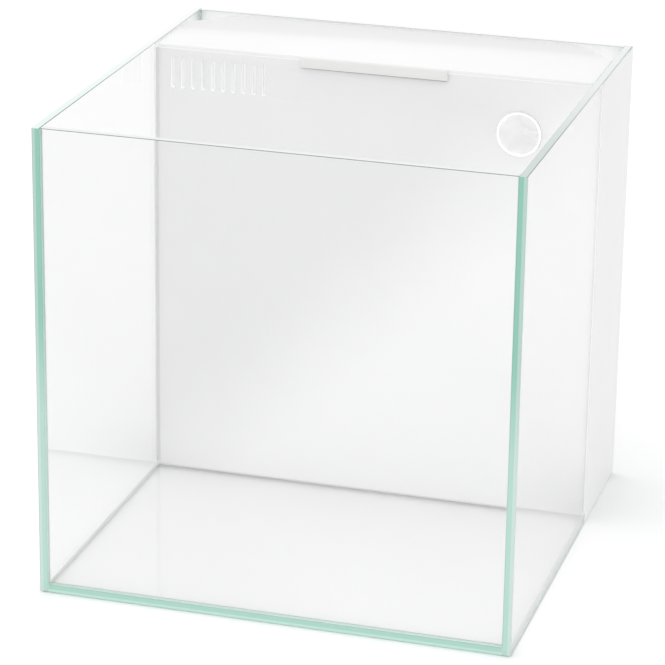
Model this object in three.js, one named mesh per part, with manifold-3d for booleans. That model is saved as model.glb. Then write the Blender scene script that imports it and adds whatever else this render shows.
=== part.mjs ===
// A rimless cube aquarium with a built-in filter chamber behind an opal false wall.
// Millimetres, +Z up, front pane towards -Y, origin on the floor under the middle of the tank.
import * as THREE from "three";
import { mergeVertices } from "three/addons/utils/BufferGeometryUtils.js";
import Module from "manifold-3d";

const wasm = await Module();
wasm.setup();

// ---------------------------------------------------------------- driving dimensions
const TANK = 360; // outside width, depth and height
const GLASS = 6; // pane thickness
const FILM = 0.5; // white film outside the filter chamber
const BEAD = 2.5; // leg of a silicone bead
const FIT = 0.3; // gap round pieces that lift out or turn
const OUT = TANK / 2; // outer faces of the tank
const IN = OUT - GLASS; // inner faces of the tank

const WALL = { front: 70, thick: 5, top: 355.5 }; // opal false wall
const CHAMBER = { front: WALL.front + WALL.thick, back: IN }; // filter chamber, along Y
const COMB = { first: -160.75, pitch: 8.25, count: 10, width: 2.8, bottom: 324, top: 348.5 };
const RETURN = { x: 117, z: 313.5, radius: 17.4 }; // round hole of the pump's return
const LID = { thick: 3, front: 69, gap: 1, corner: 35 }; // cover of the filter chamber
const GRIP = { x: 2, length: 117, thick: 3, height: 9 }; // strip to lift the lid by
const DIVIDER = { thick: 5, left: -76, right: 94.5, underflow: 36, leftTop: 350, weir: 291 };
const LID_REST = { left: -105, right: 85, width: 24, reach: 10, height: 6 };
const SPONGE = { clear: BEAD + 1.5, beside: 2, top: 285 }; // block in the first bay
const BASKET = { x0: -63, x1: 87, y0: 78.5, y1: 170.5, floor: 40, top: 285, wall: 2.5, leg: 10 };
const WALL_SLOT = { count: 11, first: 12, pitch: 12.2, width: 4, up: 20, down: 90 };
const FLOOR_SLOT = { count: 8, first: 14, pitch: 16.2, width: 8, edge: 12 };
const MEDIA = { side: 1.5, coarse: 30, rings: 119, pad: 25, between: 1 }; // layers in the basket
const BAIL = { pivot: 278, reach: 39, wide: 8, thick: 2.5, pin: 2.5, clear: 1 };
const PUMP = { x0: 103, x1: 151, y0: 106, y1: 158, z0: 20, z1: 70, corner: 8 };
const ROTOR = { x: 127, z: 45, well: 9, wellEnd: 10, volute: 19, depth: 14 };
const SHAFT = { radius: 1.2, bore: 1.5, end: 6, sides: 12 }; // ceramic shaft of the rotor
const BLADE = { count: 6, thick: 1.6, hub: 3.5, start: 2, disc: 2 };
const SPIGOT = { wall: 2, below: 2, above: 12 }; // outlet on top of the pump
const COVER = { thick: 3, eye: 8, bush: 3, bridge: 3 }; // plate with the pump's inlet
const CAGE = { depth: 14, inset: 1, wall: 2, corner: 7, dialHole: 4 }; // strainer cap
const SLIT = { count: 7, first: 8, pitch: 5.4, high: 2.4, front: 10, back: 3 };
const DIAL = { radius: 11, thick: 3, stem: 3.5, into: 5, rib: 3, ribHigh: 9, ribOut: 2 };
const FOOT = { inset: 10, rim: 7, lip: 5, neck: 3.5, dish: 5, flare: 8 }; // suction cup
const GLAND = { fromRight: 14, fromBack: 12, radius: 6, collar: 5, tip: 3.6, height: 14 };
const RISER = { x: RETURN.x, y: PUMP.y0 + 11, outer: 8, inner: 6, top: 302 };
const OUTLET = { proud: 3, wall: 2, behind: 16, socketWall: 2.5, socketBelow: 12 };
const OVERCUT = 1; // how far a cutter runs past the face that it opens
const RIM_GAP = 2; // how far the corner beads stop below the rim
const FILM_GAP = 1; // how far the films stop short of the panes' top and bottom
const ROUND = 48; // segments on a large circle
const SMALL = 24; // segments on a small circle

// ---------------------------------------------------------------- finishes
const FINISH = {
  glass: { color: 0xdff2ea, roughness: 0.05, metalness: 0, transparent: true, opacity: 0.35 },
  silicone: { color: 0xc9cfcc, roughness: 0.35, metalness: 0 },
  opal: { color: 0xf2f3f2, roughness: 0.35, metalness: 0 },
  film: { color: 0xf7f7f7, roughness: 0.6, metalness: 0 },
  grip: { color: 0xe6e7e5, roughness: 0.5, metalness: 0 },
  clear: { color: 0xf4fbfa, roughness: 0.08, metalness: 0, transparent: true, opacity: 0.4 },
  foam: { color: 0xdadcdc, roughness: 1, metalness: 0 },
  pad: { color: 0xf4f4ee, roughness: 1, metalness: 0 },
  media: { color: 0xe9e2d6, roughness: 0.95, metalness: 0 },
  basket: { color: 0xeceded, roughness: 0.5, metalness: 0 },
  pump: { color: 0xd2d5d6, roughness: 0.45, metalness: 0 },
  rotor: { color: 0x54585c, roughness: 0.5, metalness: 0.1 },
  ceramic: { color: 0xf5f3ee, roughness: 0.3, metalness: 0 },
  rubber: { color: 0x17181a, roughness: 0.8, metalness: 0 },
};

// ---------------------------------------------------------------- shapes
const box = ([x0, x1], [y0, y1], [z0, z1]) =>
  new THREE.BoxGeometry(x1 - x0, y1 - y0, z1 - z0)
    .translate((x0 + x1) / 2, (y0 + y1) / 2, (z0 + z1) / 2);

const polygon = (points) => new THREE.Shape(points.map(([u, v]) => new THREE.Vector2(u, v)));

const extrude = (shape, depth) =>
  new THREE.ExtrudeGeometry(shape, { depth, bevelEnabled: false, curveSegments: 6 });

const upFrom = (shape, [z0, z1]) => extrude(shape, z1 - z0).translate(0, 0, z0);

// An outline in X and Z, run along Y.
const alongY = (shape, [y0, y1]) =>
  extrude(shape, y1 - y0).rotateX(Math.PI / 2).translate(0, y1, 0);

// An outline in Y and Z, run along X.
const alongX = (shape, [x0, x1]) => {
  const turn = new THREE.Matrix4().makeBasis(
    new THREE.Vector3(0, 1, 0), new THREE.Vector3(0, 0, 1), new THREE.Vector3(1, 0, 0));
  return extrude(shape, x1 - x0).applyMatrix4(turn).translate(x0, 0, 0);
};

const rodAlongX = (radius, [x0, x1], y, z, sides = SMALL) =>
  new THREE.CylinderGeometry(radius, radius, x1 - x0, sides)
    .rotateZ(Math.PI / 2).translate((x0 + x1) / 2, y, z);

const rodAlongY = (radius, [y0, y1], x, z, sides = SMALL) =>
  new THREE.CylinderGeometry(radius, radius, y1 - y0, sides).translate(x, (y0 + y1) / 2, z);

const rodAlongZ = (radius, [z0, z1], x, y, sides = SMALL) =>
  new THREE.CylinderGeometry(radius, radius, z1 - z0, sides)
    .rotateX(Math.PI / 2).translate(x, y, (z0 + z1) / 2);

// A closed profile of [radius, height] pairs, turned about the vertical line through x, y.
const turned = (profile, x, y, sides = SMALL) =>
  new THREE.LatheGeometry(profile.map(([r, h]) => new THREE.Vector2(r, h)), sides)
    .rotateX(Math.PI / 2).translate(x, y, 0);

const slotOutline = (x, z0, z1, width) => {
  const r = width / 2;
  const shape = new THREE.Shape();
  shape.absarc(x, z0 + r, r, Math.PI, 2 * Math.PI, false);
  shape.absarc(x, z1 - r, r, 0, Math.PI, false);
  return shape;
};

const roundedOutline = ([u0, u1], [v0, v1], r) => {
  const shape = new THREE.Shape();
  shape.absarc(u1 - r, v0 + r, r, -Math.PI / 2, 0, false);
  shape.absarc(u1 - r, v1 - r, r, 0, Math.PI / 2, false);
  shape.absarc(u0 + r, v1 - r, r, Math.PI / 2, Math.PI, false);
  shape.absarc(u0 + r, v0 + r, r, Math.PI, 1.5 * Math.PI, false);
  return shape;
};

// ---------------------------------------------------------------- cutting and joining
const solidOf = (geometry) => {
  const bare = geometry.clone();
  bare.deleteAttribute("normal");
  bare.deleteAttribute("uv");
  const welded = mergeVertices(bare);
  return new wasm.Manifold(new wasm.Mesh({
    numProp: 3,
    vertProperties: Float32Array.from(welded.attributes.position.array),
    triVerts: Uint32Array.from(welded.index.array),
  }));
};

const geometryOf = (solid) => {
  const mesh = solid.getMesh();
  const geometry = new THREE.BufferGeometry();
  geometry.setAttribute("position", new THREE.BufferAttribute(mesh.vertProperties, 3));
  geometry.setIndex(new THREE.BufferAttribute(mesh.triVerts, 1));
  geometry.computeVertexNormals();
  return geometry;
};

const joined = (geometries) =>
  geometries.map(solidOf).reduce((sum, next) => sum.add(next));

const cut = (geometries, cutters) =>
  geometryOf(cutters.map(solidOf).reduce((left, next) => left.subtract(next), joined(geometries)));

const join = (...geometries) => geometryOf(joined(geometries));

// ---------------------------------------------------------------- the assembly
const tank = new THREE.Group();

const place = (name, geometry, finish) => {
  const mesh = new THREE.Mesh(geometry, new THREE.MeshStandardMaterial(FINISH[finish]));
  mesh.name = name;
  tank.add(mesh);
  return mesh;
};

function glassPanes() {
  place("bottom_pane", box([-IN, IN], [-OUT, OUT], [0, GLASS]), "glass");
  place("front_pane", box([-IN, IN], [-OUT, -IN], [GLASS, TANK]), "glass");
  place("back_pane", box([-IN, IN], [IN, OUT], [GLASS, TANK]), "glass");
  place("left_pane", box([-OUT, -IN], [-OUT, OUT], [0, TANK]), "glass");
  place("right_pane", box([IN, OUT], [-OUT, OUT], [0, TANK]), "glass");
}

function whiteFilms() {
  const height = [FILM_GAP, TANK - FILM_GAP];
  const depth = [WALL.front, OUT];
  place("left_film", box([-OUT - FILM, -OUT], depth, height), "film");
  place("right_film", box([OUT, OUT + FILM], depth, height), "film");
  place("back_film", box([-OUT, OUT], [OUT, OUT + FILM], height), "film");
}

// An upright bead in a corner: two flat legs on the glass and a hollow face between them.
function uprightBead(name, x, y, quarterTurns, top) {
  const shape = new THREE.Shape();
  shape.moveTo(0, 0);
  shape.lineTo(BEAD, 0);
  shape.absarc(BEAD, BEAD, BEAD, 1.5 * Math.PI, Math.PI, true);
  const bead = place(name, extrude(shape, top - GLASS - BEAD), "silicone");
  bead.rotation.z = quarterTurns * Math.PI / 2;
  bead.position.set(x, y, GLASS + BEAD);
}

// A bead that runs round the floor of one compartment.
function floorBead(name, [y0, y1]) {
  const ring = box([-IN, IN], [y0, y1], [GLASS, GLASS + BEAD]);
  const hollow = box([-IN, IN], [y0, y1], [GLASS, GLASS + BEAD]);
  const middle = (y0 + y1) / 2;
  const position = hollow.attributes.position;
  for (let i = 0; i < position.count; i += 1) {
    if (position.getZ(i) > GLASS) continue;
    position.setX(i, position.getX(i) - Math.sign(position.getX(i)) * BEAD);
    position.setY(i, position.getY(i) - Math.sign(position.getY(i) - middle) * BEAD);
  }
  place(name, cut([ring], [hollow]), "silicone");
}

function siliconeBeads() {
  const rim = TANK - RIM_GAP;
  floorBead("display_floor_bead", [-IN, WALL.front]);
  floorBead("chamber_floor_bead", [CHAMBER.front, CHAMBER.back]);
  uprightBead("front_left_bead", -IN, -IN, 0, rim);
  uprightBead("front_right_bead", IN, -IN, 1, rim);
  uprightBead("back_right_bead", IN, IN, 2, rim);
  uprightBead("back_left_bead", -IN, IN, 3, rim);
  uprightBead("wall_left_bead", -IN, WALL.front, 3, WALL.top - FIT);
  uprightBead("wall_right_bead", IN, WALL.front, 2, WALL.top - FIT);
}

function falseWall() {
  const through = [WALL.front - OVERCUT, CHAMBER.front + OVERCUT];
  const slots = Array.from({ length: COMB.count }, (_, i) =>
    alongY(slotOutline(COMB.first + i * COMB.pitch, COMB.bottom, COMB.top, COMB.width), through));
  const hole = rodAlongY(RETURN.radius, through, RETURN.x, RETURN.z, ROUND);
  const sheet = box([-IN, IN], [WALL.front, CHAMBER.front], [GLASS, WALL.top]);
  place("false_wall", cut([sheet], [...slots, hole]), "opal");
}

// A divider stands across the chamber; its lower corners are cut off to clear the floor bead.
function divider(name, x0, [z0, z1]) {
  const clear = BEAD + FIT;
  const { front, back } = CHAMBER;
  const shape = polygon([[front, z0 + clear], [front + clear, z0], [back - clear, z0],
    [back, z0 + clear], [back, z1], [front, z1]]);
  place(name, alongX(shape, [x0, x0 + DIVIDER.thick]), "opal");
}

function dividers() {
  divider("left_divider", DIVIDER.left, [DIVIDER.underflow, DIVIDER.leftTop]);
  divider("right_divider", DIVIDER.right, [GLASS, DIVIDER.weir]);
}

function lidAndGrip() {
  const bottom = WALL.top + FIT;
  const side = IN - LID.gap;
  const inset = side - LID.corner;
  const outline = polygon([[-side, LID.front], [side, LID.front], [side, side - LID.corner],
    [inset, side], [-inset, side], [-side, side - LID.corner]]);
  place("lid", upFrom(outline, [bottom, bottom + LID.thick]), "opal");
  const top = bottom + LID.thick;
  place("lid_grip", box([GRIP.x - GRIP.length / 2, GRIP.x + GRIP.length / 2],
    [LID.front - GRIP.thick, LID.front], [top - GRIP.height, top]), "grip");
}

function lidRests() {
  const depth = [IN - LID_REST.reach, IN];
  const height = [WALL.top - LID_REST.height, WALL.top];
  for (const side of ["left", "right"]) {
    const x = LID_REST[side];
    place(`${side}_lid_rest`, box([x, x + LID_REST.width], depth, height), "opal");
  }
}

function filterSponge() {
  const { clear, beside, top } = SPONGE;
  place("filter_sponge", box([-IN + clear, DIVIDER.left - beside],
    [CHAMBER.front + clear, CHAMBER.back - clear], [GLASS + FIT, top]), "foam");
}

function mediaBasket() {
  const { x0, x1, y0, y1, floor, top, wall, leg } = BASKET;
  const legs = [[x0, y0], [x1 - leg, y0], [x0, y1 - leg], [x1 - leg, y1 - leg]].map(([x, y]) =>
    box([x, x + leg], [y, y + leg], [GLASS + FIT, floor + OVERCUT]));
  const shell = box([x0, x1], [y0, y1], [floor, top]);
  const hollow = box([x0 + wall, x1 - wall], [y0 + wall, y1 - wall],
    [floor + wall, top + OVERCUT]);
  const pinHoles = rodAlongX(BAIL.pin + FIT, [x0 - OVERCUT, x1 + OVERCUT], (y0 + y1) / 2,
    BAIL.pivot);
  const wallSlots = Array.from({ length: WALL_SLOT.count }, (_, i) => {
    const x = x0 + WALL_SLOT.first + i * WALL_SLOT.pitch;
    return box([x, x + WALL_SLOT.width], [y0 - OVERCUT, y1 + OVERCUT],
      [floor + WALL_SLOT.up, top - WALL_SLOT.down]);
  });
  const floorSlots = Array.from({ length: FLOOR_SLOT.count }, (_, i) => {
    const x = x0 + FLOOR_SLOT.first + i * FLOOR_SLOT.pitch;
    return box([x, x + FLOOR_SLOT.width], [y0 + FLOOR_SLOT.edge, y1 - FLOOR_SLOT.edge],
      [floor - OVERCUT, floor + wall + OVERCUT]);
  });
  const cutters = [hollow, pinHoles, ...wallSlots, ...floorSlots];
  place("media_basket", cut([shell, ...legs], cutters), "basket");
}

function basketContents() {
  const { x0, x1, y0, y1, floor, wall } = BASKET;
  const gap = wall + MEDIA.side;
  const across = [x0 + gap, x1 - gap];
  const along = [y0 + gap, y1 - gap];
  const layers = [
    ["coarse_foam", MEDIA.coarse, "foam"],
    ["ceramic_media", MEDIA.rings, "media"],
    ["fine_pad", MEDIA.pad, "pad"],
  ];
  let base = floor + wall + FIT;
  for (const [name, height, finish] of layers) {
    place(name, box(across, along, [base, base + height]), finish);
    base += height + MEDIA.between;
  }
}

// The bail's arms stand just outside the basket's ends; its pins reach into the end walls.
function basketBail() {
  const { x0, x1, y0, y1, wall } = BASKET;
  const y = (y0 + y1) / 2;
  const wide = [y - BAIL.wide / 2, y + BAIL.wide / 2];
  const armZ = [BAIL.pivot - BAIL.wide / 2, BAIL.pivot + BAIL.reach];
  const left = [x0 - BAIL.clear - BAIL.thick, x0 - BAIL.clear];
  const right = [x1 + BAIL.clear, x1 + BAIL.clear + BAIL.thick];
  const bar = box([left[0], right[1]], wide, [armZ[1] - BAIL.thick, armZ[1]]);
  const pins = [
    rodAlongX(BAIL.pin, [left[1] - BAIL.thick / 2, x0 + wall], y, BAIL.pivot),
    rodAlongX(BAIL.pin, [x1 - wall, right[0] + BAIL.thick / 2], y, BAIL.pivot),
  ];
  const bail = join(bar, box(left, wide, armZ), box(right, wide, armZ), ...pins);
  place("basket_bail", bail, "basket");
}

function pumpBody() {
  const { x0, x1, y0, y1, z0, z1, corner } = PUMP;
  const { x, z, well, wellEnd, volute, depth } = ROTOR;
  const shell = alongY(roundedOutline([x0, x1], [z0, z1], corner), [y0, y1]);
  const chamber = rodAlongY(volute, [y0 - OVERCUT, y0 + depth], x, z, ROUND);
  const bore = rodAlongY(well, [y0, y1 - wellEnd], x, z);
  const socket = rodAlongY(SHAFT.bore, [y0, y1 - SHAFT.end], x, z, SHAFT.sides);
  const outlet = rodAlongZ(RISER.inner, [z, z1 + OVERCUT], RISER.x, RISER.y);
  const reach = RISER.outer + SPIGOT.wall;
  const spigot = turned([[RISER.inner, z1 - SPIGOT.below], [reach, z1 - SPIGOT.below],
    [reach, z1 + SPIGOT.above], [RISER.inner, z1 + SPIGOT.above],
    [RISER.inner, z1 - SPIGOT.below]], RISER.x, RISER.y);
  place("pump_body", cut([shell, spigot], [chamber, bore, socket, outlet]), "pump");
}

function impeller() {
  const { x, z, well, wellEnd, volute, depth } = ROTOR;
  const y = PUMP.y0;
  const discBack = y + depth - BLADE.disc;
  const magnet = rodAlongY(well - 1, [discBack, PUMP.y1 - wellEnd - 2], x, z);
  const disc = rodAlongY(volute - 4, [discBack - BLADE.disc, discBack], x, z, ROUND);
  const hub = rodAlongY(BLADE.hub, [y + 3, discBack - 1], x, z);
  const length = volute - 6;
  const deep = depth - 7;
  const blades = Array.from({ length: BLADE.count }, (_, i) =>
    new THREE.BoxGeometry(length, deep, BLADE.thick)
      .translate(length / 2 + BLADE.start, 0, 0)
      .rotateY(i * 2 * Math.PI / BLADE.count)
      .translate(x, y + depth / 2 - FIT, z));
  const bore = rodAlongY(SHAFT.bore, [y, PUMP.y1], x, z, SHAFT.sides);
  place("impeller", cut([magnet, disc, hub, ...blades], [bore]), "rotor");
  place("impeller_shaft", rodAlongY(SHAFT.radius, [y + FIT, PUMP.y1 - SHAFT.end - FIT], x, z,
    SHAFT.sides), "ceramic");
}

// The plate in front of the impeller has a round inlet with a bridge that holds the shaft.
function voluteCover() {
  const { x0, x1, z0, z1, corner } = PUMP;
  const { x, z } = ROTOR;
  const back = PUMP.y0 - FIT;
  const depth = [back - COVER.thick, back];
  const plate = alongY(roundedOutline([x0, x1], [z0, z1], corner), depth);
  const eye = rodAlongY(COVER.eye, [back - COVER.thick - OVERCUT, back + OVERCUT], x, z);
  const half = COVER.eye + OVERCUT;
  const bridge = box([x - half, x + half], depth,
    [z - COVER.bridge / 2, z + COVER.bridge / 2]);
  const bush = rodAlongY(COVER.bush, depth, x, z);
  const ring = solidOf(plate).subtract(solidOf(eye));
  const whole = ring.add(solidOf(bridge)).add(solidOf(bush));
  place("volute_cover", geometryOf(whole), "pump");
}

function intakeCage() {
  const { x0, x1, z0, z1 } = PUMP;
  const { x, z } = ROTOR;
  const back = PUMP.y0 - 2 * FIT - COVER.thick;
  const front = back - CAGE.depth;
  const outline = (inset) => roundedOutline([x0 + inset, x1 - inset], [z0 + inset, z1 - inset],
    CAGE.corner - inset + CAGE.inset);
  const cap = alongY(outline(CAGE.inset), [front, back]);
  const inside = alongY(outline(CAGE.inset + CAGE.wall), [front + CAGE.wall, back + OVERCUT]);
  const dialHole = rodAlongY(CAGE.dialHole, [front - OVERCUT, front + CAGE.wall + OVERCUT],
    x, z);
  const slits = Array.from({ length: SLIT.count }, (_, i) => {
    const low = z0 + SLIT.first + i * SLIT.pitch;
    return box([x0 - OVERCUT, x1 + OVERCUT], [back - SLIT.front, back - SLIT.back],
      [low, low + SLIT.high]);
  });
  place("intake_cage", cut([cap], [inside, dialHole, ...slits]), "pump");
}

function flowDial() {
  const { x, z } = ROTOR;
  const back = PUMP.y0 - 2 * FIT - COVER.thick - CAGE.depth - FIT;
  const front = back - DIAL.thick;
  const disc = rodAlongY(DIAL.radius, [front, back], x, z, ROUND);
  const stem = rodAlongY(DIAL.stem, [back - OVERCUT, back + FIT + DIAL.into], x, z);
  const rib = box([x - DIAL.rib / 2, x + DIAL.rib / 2],
    [front - DIAL.ribOut, front + OVERCUT], [z - DIAL.ribHigh, z + DIAL.ribHigh]);
  place("flow_dial", join(disc, stem, rib), "basket");
}

function pumpFeet() {
  const { inset, rim, lip, neck, dish, flare } = FOOT;
  const top = PUMP.z0 - FIT;
  const cup = [[0, GLASS + dish], [lip, GLASS], [rim, GLASS], [neck, GLASS + flare],
    [neck, top], [0, top]];
  let number = 1;
  for (const x of [PUMP.x0 + inset, PUMP.x1 - inset]) {
    for (const y of [PUMP.y0 + inset, PUMP.y1 - inset]) {
      place(`suction_foot_${number}`, turned(cup, x, y), "rubber");
      number += 1;
    }
  }
}

function cordGland() {
  const { fromRight, fromBack, radius, collar, tip, height } = GLAND;
  const z = PUMP.z1;
  const profile = [[0, z + FIT], [radius, z + FIT], [radius, z + collar], [tip, z + height],
    [0, z + height]];
  place("cord_gland", turned(profile, PUMP.x1 - fromRight, PUMP.y1 - fromBack), "rubber");
}

function riserPipe() {
  const { x, y, inner, outer, top } = RISER;
  const foot = PUMP.z1 + SPIGOT.above + FIT;
  const profile = [[inner, foot], [outer, foot], [outer, top], [inner, top], [inner, foot]];
  place("riser_pipe", turned(profile, x, y), "clear");
}

// The return outlet is a short cup lying in the hole of the false wall, with a socket below
// that the riser pipe pushes into.
function returnOutlet() {
  const { x, z } = RETURN;
  const { proud, wall, behind, socketWall, socketBelow } = OUTLET;
  const outer = RETURN.radius - FIT;
  const y = RISER.y;
  const front = WALL.front - proud;
  const low = z - outer - socketBelow;
  const cup = rodAlongY(outer, [front, y + behind], x, z, ROUND);
  const socket = rodAlongZ(RISER.outer + socketWall, [low, z], x, y);
  const mouth = rodAlongY(outer - wall, [front - OVERCUT, y + behind - wall], x, z, ROUND);
  const bore = rodAlongZ(RISER.outer + FIT, [low - OVERCUT, z], x, y);
  place("return_outlet", cut([cup, socket], [mouth, bore]), "clear");
}

glassPanes();
whiteFilms();
siliconeBeads();
falseWall();
dividers();
lidAndGrip();
lidRests();
filterSponge();
mediaBasket();
basketContents();
basketBail();
pumpBody();
impeller();
voluteCover();
intakeCage();
flowDial();
pumpFeet();
cordGland();
riserPipe();
returnOutlet();

// The back film makes the tank deeper on one side, so the whole is centred again.
tank.position.y = -FILM / 2;

export default tank;
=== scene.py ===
"""Looks of a rimless cube aquarium with a filter chamber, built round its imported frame.

The frame's boxes place every piece, and each class names the small sizes that it adds. Pieces are
in metres, +Z up, front pane towards -Y.
"""

import logging
import math
import random
from dataclasses import dataclass, field
from enum import IntEnum
from typing import Sequence

import bmesh
import bpy
from mathutils import Matrix, Vector


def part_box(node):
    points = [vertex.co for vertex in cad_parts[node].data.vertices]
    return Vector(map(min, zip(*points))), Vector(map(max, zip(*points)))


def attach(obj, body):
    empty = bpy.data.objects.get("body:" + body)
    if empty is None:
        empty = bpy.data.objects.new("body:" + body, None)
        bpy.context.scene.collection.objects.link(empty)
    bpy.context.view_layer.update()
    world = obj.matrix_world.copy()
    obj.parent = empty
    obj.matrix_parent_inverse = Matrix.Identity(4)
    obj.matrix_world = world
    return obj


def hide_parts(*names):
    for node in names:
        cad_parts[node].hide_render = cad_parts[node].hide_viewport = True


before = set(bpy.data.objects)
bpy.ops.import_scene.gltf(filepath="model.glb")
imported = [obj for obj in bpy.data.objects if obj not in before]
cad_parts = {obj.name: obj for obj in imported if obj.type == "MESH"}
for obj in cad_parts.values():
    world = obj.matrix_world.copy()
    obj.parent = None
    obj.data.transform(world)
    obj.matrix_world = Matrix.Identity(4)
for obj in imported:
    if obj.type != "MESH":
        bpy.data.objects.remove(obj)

LOG = logging.getLogger("aquarium")
MM = 0.001
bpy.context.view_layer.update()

Colour = tuple[float, float, float]
Box = tuple[Vector, Vector]

FACING = 0.9  # how much of a direction a unit normal has, at the least, to face that way
LEANING = 0.3  # and to lean that way
TO_BACK = (0.0, 1.0, 0.0)
TO_LOWER_RIGHT = (1.0, 0.0, -1.0)
DISPLAY_DEPTH = (-0.12, 0.12)  # from behind the front pane to the chamber, in metres
SLOW = (9.0, 9.0, 9.0)  # a noise that drifts slowly, in cycles per metre


# ------------------------------------------------------------------ finishes


class Shader:
    """A new material with a Principled shader, and short ways to add nodes to it."""

    def __init__(self, name: str) -> None:
        """Makes the material.

        Args:
            name: The material's name.
        """
        self.material = bpy.data.materials.new(name)
        self.material.use_nodes = True
        self.tree = self.material.node_tree
        self.surface = self.tree.nodes["Principled BSDF"]

    def add(self, kind: str, **settings: object) -> bpy.types.Node:
        """Adds a node.

        Args:
            kind: The node's type, such as "TexNoise".
            **settings: Properties of the node, or values of its input sockets.

        Returns:
            The node.
        """
        node = self.tree.nodes.new("ShaderNode" + kind)
        for key, value in settings.items():
            socket = key.replace("_", " ").title()
            if hasattr(node, key):
                setattr(node, key, value)
            else:
                node.inputs[socket].default_value = value
        return node

    def link(self, source: bpy.types.NodeSocket, target: bpy.types.NodeSocket) -> None:
        """Joins an output socket to an input socket."""
        self.tree.links.new(source, target)

    def set(self, **values: object) -> None:
        """Sets constants on the Principled shader's own sockets."""
        for key, value in values.items():
            self.surface.inputs[key.replace("_", " ")].default_value = value

    def place(self, scale: Sequence[float]) -> bpy.types.NodeSocket:
        """Gives the object coordinates, stretched along each axis.

        Args:
            scale: How often a pattern repeats in a metre, along X, Y and Z.

        Returns:
            The mapped coordinates.
        """
        where = self.add("TexCoord")
        mapping = self.add("Mapping", vector_type="POINT")
        mapping.inputs["Scale"].default_value = scale
        self.link(where.outputs["Object"], mapping.inputs["Vector"])
        return mapping.outputs["Vector"]

    def noise(self, scale: Sequence[float], detail: float = 3.0) -> bpy.types.NodeSocket:
        """Gives a noise pattern from 0 to 1.

        Args:
            scale: How fine the noise is along X, Y and Z, in cycles per metre.
            detail: How many finer layers it has.

        Returns:
            The pattern's value.
        """
        noise = self.add("TexNoise", Scale=1.0, Detail=detail)
        self.link(self.place(scale), noise.inputs["Vector"])
        return noise.outputs["Fac"]

    def blend(self, value: bpy.types.NodeSocket, low: Colour, high: Colour,
              span: tuple[float, float] = (0.3, 0.7)) -> None:
        """Colours the surface from a pattern.

        Args:
            value: The pattern.
            low: The colour at and below the span's start.
            high: The colour at and above the span's end.
            span: The part of the pattern over which the colour changes.
        """
        ramp = self.add("ValToRGB")
        ends = ramp.color_ramp.elements
        for end, place, colour in zip(ends, span, (low, high)):
            end.position = place
            end.color = (*colour, 1.0)
        self.link(value, ramp.inputs["Fac"])
        self.link(ramp.outputs["Color"], self.surface.inputs["Base Color"])

    def bump(self, height: bpy.types.NodeSocket, depth: float, strength: float = 1.0) -> None:
        """Raises the surface by a pattern.

        Args:
            height: The pattern.
            depth: How far it rises, in metres.
            strength: How much of it shows.
        """
        bump = self.add("Bump", Strength=strength, Distance=depth)
        self.link(height, bump.inputs["Height"])
        self.link(bump.outputs["Normal"], self.surface.inputs["Normal"])

    def let_light_through(self, share: float) -> None:
        """Lets shadow rays and diffuse rays straight through, as a thin pale sheet does.

        Args:
            share: How much of the light one face leaves.
        """
        path = self.add("LightPath")
        through = self.add("BsdfTransparent")
        through.inputs["Color"].default_value = (share, share, share, 1.0)
        seen = self.surface.outputs["BSDF"]
        for ray in ("Is Shadow Ray", "Is Diffuse Ray"):
            mix = self.add("MixShader")
            self.link(path.outputs[ray], mix.inputs[0])
            self.link(seen, mix.inputs[1])
            self.link(through.outputs["BSDF"], mix.inputs[2])
            seen = mix.outputs["Shader"]
        self.link(seen, self.tree.nodes["Material Output"].inputs["Surface"])

    def roughen(self, value: bpy.types.NodeSocket, low: float, high: float) -> None:
        """Varies the roughness by a pattern.

        Args:
            value: The pattern.
            low: The roughness where it is 0.
            high: The roughness where it is 1.
        """
        spread = self.add("MapRange")
        spread.inputs["To Min"].default_value = low
        spread.inputs["To Max"].default_value = high
        self.link(value, spread.inputs["Value"])
        self.link(spread.outputs["Result"], self.surface.inputs["Roughness"])


@dataclass(frozen=True)
class Finish:
    """A finish of one slot: a name and the way its material is made."""

    name: str
    slot: str

    def material(self) -> bpy.types.Material:
        """Gives the finish's material, made once."""
        name = "finish_" + self.name
        return bpy.data.materials.get(name) or self.make(Shader(name)).material

    def make(self, shader: Shader) -> Shader:
        """Dresses a new shader.

        Args:
            shader: The shader.

        Returns:
            The same shader.
        """
        raise NotImplementedError


@dataclass(frozen=True)
class ClearSheet(Finish):
    """Clear glass, which lets lamps through to what it shuts in."""

    tint: Colour
    index: float = 1.52
    haze: tuple[float, float] = (0.0, 0.01)

    def make(self, shader: Shader) -> Shader:
        """Makes a clear material with the faintest film of dust.

        Args:
            shader: The shader to dress.

        Returns:
            The same shader.
        """
        shader.set(Base_Color=(*self.tint, 1.0), IOR=self.index, Transmission_Weight=1.0)
        shader.roughen(shader.noise(SLOW), *self.haze)
        shader.let_light_through(1.0)
        return shader


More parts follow.
